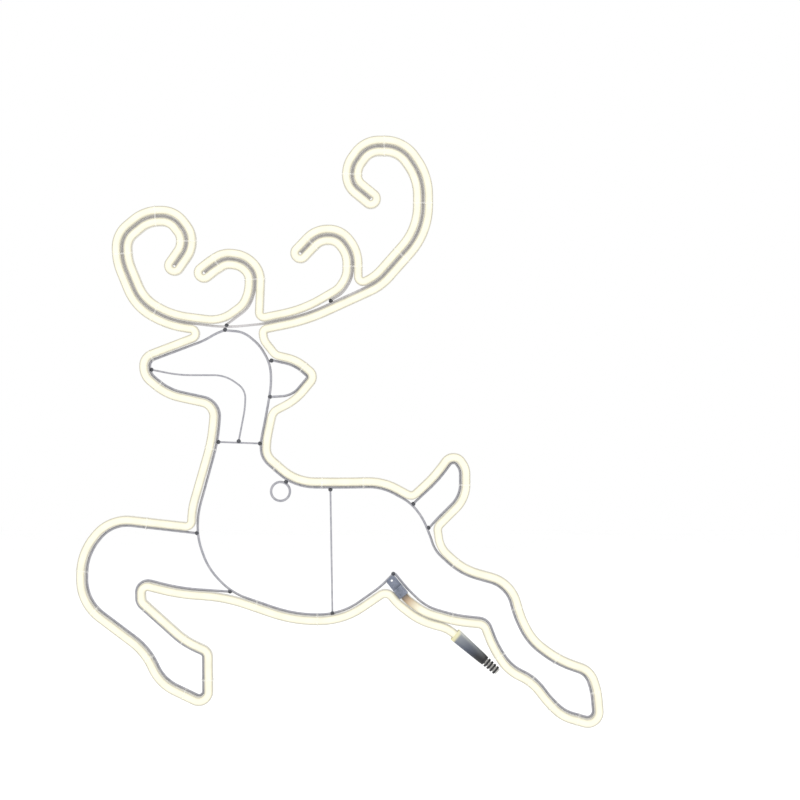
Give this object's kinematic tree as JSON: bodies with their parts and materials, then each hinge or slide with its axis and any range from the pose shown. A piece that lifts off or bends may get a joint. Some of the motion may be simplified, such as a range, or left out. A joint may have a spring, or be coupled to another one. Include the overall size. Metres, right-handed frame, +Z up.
{
  "type": "light-up reindeer silhouette",
  "caption": "Leaping reindeer outline of bent wire with glowing LED neon flex, a hanging ring and a tapered supply boot, for a garden wall or fence.",
  "frame": {"origin": "centre of the hanging ring, in the plane of the frame's wires", "axes": "+X to the tail, +Z up, the lit face looks along -Y"},
  "size_m": [0.632, 0.0199, 0.7095],
  "materials": {
    "wire": "satin",
    "weld": "rough satin",
    "jacket": "satin silicone",
    "diffuser": "glowing warm white",
    "circuit": "matte",
    "led": "gloss",
    "tie": "clear gloss",
    "end_cap": "translucent gloss",
    "boot": "matte",
    "relief": "matte",
    "carrier": "matte",
    "pin": "polished"
  },
  "bodies": {
    "root": {"flex_jacket": "jacket", "flex_diffuser": "diffuser", "led_strip": "circuit", "led_chips": "led", "antler_wire": "wire", "left_tine_wire": "wire", "right_tine_wire": "wire", "head_chest_wire": "wire", "back_leg_wire": "wire", "foreleg_wire": "wire", "ear_wire": "wire", "tail_wire": "wire", "jaw_wire": "wire", "hanging_ring": "wire", "neck_brace": "wire", "body_brace": "wire", "welds_head": "weld", "welds_body": "weld", "ties_head": "tie", "ties_foreleg": "tie", "ties_body": "tie", "ties_hind_leg": "tie", "ties_left_antler": "tie", "ties_left_tine": "tie", "ties_right_antler": "tie", "ties_right_tine": "tie", "end_cap": "end_cap", "boot": "boot", "strain_relief": "relief", "contact_carrier": "carrier", "contact_pins": "pin"}
  },
  "joints": []
}
